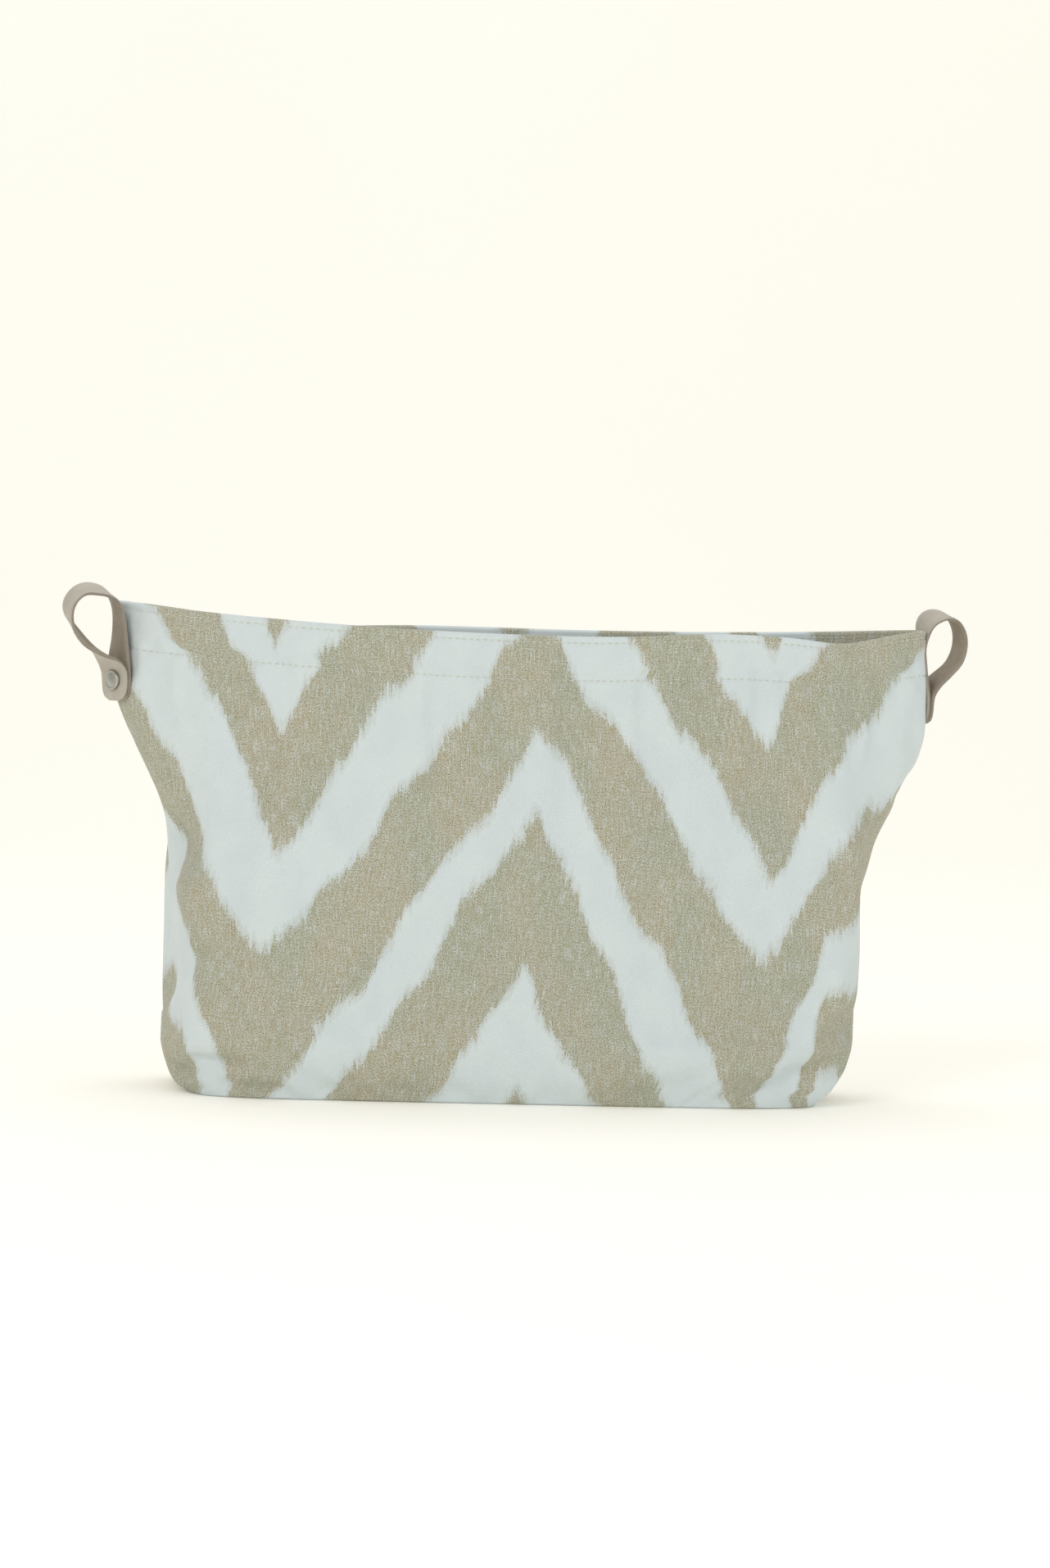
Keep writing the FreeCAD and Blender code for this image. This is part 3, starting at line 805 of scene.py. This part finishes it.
def make_loop(end, name, node):
    line, length = spline(LOOP_LINES[end], LOOP_STEPS)
    share = np.linspace(0, 1, LOOP_STEPS)
    twist = np.radians(curve(LOOP_TWISTS[end], share))
    tangent = np.gradient(line, axis=0)
    tangent /= np.linalg.norm(tangent, axis=1, keepdims=True)
    outer = np.stack([tangent[:, 1], -tangent[:, 0]], 1)      # away from the loop's hole
    across = np.concatenate([np.linspace(-1, 1, 13), [1.0], np.linspace(1, -1, 13), [-1.0]])
    layer = np.concatenate([np.full(13, 1.0), [0.0], np.full(13, -1.0), [0.0]])
    round_off = np.where(np.abs(across) > 0.999, 0.55, 1.0)
    round_off[[13, 27]] = 1.0
    points, uv = [], []
    rim_in = np.where(layer == 0, 1.0, np.where(np.abs(across) > 0.999, 0.975, 1.0))
    for i in range(LOOP_STEPS):
        below = max(0.0, -line[i, 1])
        half = STRAP_HALF * max(0.0, 1 - (below / END_REACH) ** END_POWER) ** (1 / END_POWER)
        cup = 0.25 * math.sin(math.pi * share[i])
        for a, l, r, w in zip(across, layer, round_off, rim_in):
            lift = l * STRAP_THICK / 2 * r + cup * (a * a - 0.4)
            y = a * half * w
            c, s = math.cos(twist[i]), math.sin(twist[i])
            x, z = line[i] + outer[i] * (lift * c + y * s)
            points.append((x, y * c - lift * s, z))
            uv.append((share[i] * length * MM, (a * half + l * 30) * MM))
    ring = len(across)
    faces = grid_faces(LOOP_STEPS, ring, closed=True)
    faces.append(tuple(range(ring - 1, -1, -1)))
    faces.append(tuple((LOOP_STEPS - 1) * ring + c for c in range(ring)))
    centre, outward = SEAT_CENTRE[end]
    along = Vector((0, 0, 1)).cross(outward)
    place = np.array([outward, along, (0, 0, 1)])
    points = np.array(points) @ place + np.array(centre)
    obj = make(name, points, faces, GRAIN)
    obj.data.materials.append(FLESH)
    for face in obj.data.polygons:
        column = face.index % ring
        inside = 13 <= column <= 27 or column == 12
        face.material_index = 1 if inside and face.index < (LOOP_STEPS - 1) * ring else 0
    set_uv(obj, uv)
    body = "left_handle" if end < 0 else "right_handle"
    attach(obj, body)
    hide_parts(node)
    return obj


make_loop(-1, "left_loop", "left_strap")
make_loop(1, "right_loop", "right_strap")

# ---------------------------------------------------------------- rivets

CAP_SEAT = 4.15
CAP_PROFILE = [
    (0.0, 2.05), (1.4, 2.0), (2.8, 1.86), (3.6, 1.74), (3.9, 1.76), (4.15, 1.9), (4.45, 1.92),
    (4.75, 1.74), (4.98, 1.3), (5.05, 0.8), (4.95, 0.2), (4.6, 0.0), (4.0, 0.1), (0.0, 0.1),
]
CAP_SIDES = 64


def make_cap(end, name, node):
    points, faces = [], []
    for radius, rise in CAP_PROFILE:
        for k in range(CAP_SIDES):
            angle = 2 * math.pi * k / CAP_SIDES
            r = max(radius, 0.01)
            points.append((CAP_SEAT + rise, r * math.cos(angle), r * math.sin(angle)))
    faces = grid_faces(len(CAP_PROFILE), CAP_SIDES, closed=True)
    faces.append(tuple(range(CAP_SIDES - 1, -1, -1)))
    faces.append(tuple((len(CAP_PROFILE) - 1) * CAP_SIDES + k for k in range(CAP_SIDES)))
    centre, outward = SEAT_CENTRE[end]
    along = Vector((0, 0, 1)).cross(outward)
    place = np.array([outward, along, (0, 0, 1)])
    obj = make(name, np.array(points) @ place + np.array(centre), faces, NICKEL)
    obj.data.flip_normals()
    subdivision = obj.modifiers.new("round", "SUBSURF")
    subdivision.levels = subdivision.render_levels = 1
    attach(obj, "bin")
    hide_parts(node)
    return obj


make_cap(-1, "left_rivet_dome", "left_rivet_cap")
make_cap(1, "right_rivet_dome", "right_rivet_cap")
for node in ("left_rivet_post", "right_rivet_post"):
    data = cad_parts[node].data
    data.materials.clear()
    data.materials.append(NICKEL)

# ---------------------------------------------------------------- floor, light and camera


def floor_material():
    n = Nodes("pale_floor")
    spot = n.node("ShaderNodeTexCoord", output="Object")
    tone = n.ramp(n.noise(n.scaled(spot, 3, 3, 3), detail=2.0), 0.3, 0.7)
    return n.finish(Base_Color=n.mix(tone, (0.96, 0.945, 0.885, 1), (0.95, 0.935, 0.875, 1)),
                    Roughness=0.9, Emission_Color=(1.0, 0.985, 0.92, 1), Emission_Strength=0.13)


def make_backdrop():
    """A floor that sweeps up behind the object into a backdrop."""
    near, far, radius, top = -3000.0, 2600.0, 900.0, 3600.0
    profile = [(near, 0.0), (far - radius, 0.0)]
    profile += [
        (far - radius + radius * math.sin(a), radius - radius * math.cos(a))
        for a in np.linspace(0.1, math.pi / 2, 16)
    ]
    profile.append((far, top))
    points = [(x, y, z) for y, z in profile for x in (-4500.0, 4500.0)]
    floor = make("floor", points, grid_faces(len(profile), 2), floor_material())


def area_light(name, place, aim, size, power, colour=(1, 1, 1)):
    data = bpy.data.lights.new(name, "AREA")
    data.shape, data.size, data.size_y = "RECTANGLE", size[0] * MM, size[1] * MM
    data.energy, data.color = power, colour
    light = bpy.data.objects.new(name, data)
    light.location = Vector(place) * MM
    light.rotation_euler = (Vector(aim) - Vector(place)).to_track_quat("-Z", "Y").to_euler()
    bpy.context.scene.collection.objects.link(light)


CAMERA_ANGLES = (-6.0, 3.2, 1.92)    # azimuth, elevation, roll
CAMERA_DISTANCE = 2600.0
CAMERA_TARGET = (3.4, 0.0, 154.0)
SENSOR_HEIGHT = 24.0
VIEW_HEIGHT = 778.041                # height of the view at the target


def make_camera():
    """The camera: left of the front, a little above the rim, turned so the right end sinks."""
    azimuth, elevation, roll = (math.radians(angle) for angle in CAMERA_ANGLES)
    distance, target = CAMERA_DISTANCE, Vector(CAMERA_TARGET)
    back = Vector((math.sin(azimuth) * math.cos(elevation),
                   -math.cos(azimuth) * math.cos(elevation), math.sin(elevation)))
    data = bpy.data.cameras.new("camera")
    data.sensor_fit, data.sensor_height = "VERTICAL", SENSOR_HEIGHT
    data.lens = SENSOR_HEIGHT * distance / VIEW_HEIGHT
    data.clip_end = 20.0
    camera = bpy.data.objects.new("camera", data)
    turn = back.to_track_quat("Z", "Y").to_matrix().to_4x4()
    camera.matrix_world = (
        Matrix.Translation((target + back * distance) * MM) @ turn @ Matrix.Rotation(roll, 4, "Z")
    )
    bpy.context.scene.collection.objects.link(camera)
    bpy.context.scene.camera = camera


make_backdrop()
area_light("key", (-1100, -1900, 1500), (0, 0, 120), (1100, 1100), 15, (1.0, 0.99, 0.97))
area_light("fill", (1700, -1500, 900), (0, 0, 120), (1600, 1600), 7, (0.93, 0.97, 1.0))
area_light("back", (0, 700, 2300), (0, 400, 0), (2600, 1600), 14)
world = bpy.data.worlds.new("studio")
world.use_nodes = True
world.node_tree.nodes["Background"].inputs["Color"].default_value = (1.0, 0.99, 0.965, 1)
world.node_tree.nodes["Background"].inputs["Strength"].default_value = 0.62
bpy.context.scene.world = world
make_camera()
bpy.context.scene.view_settings.view_transform = "Standard"
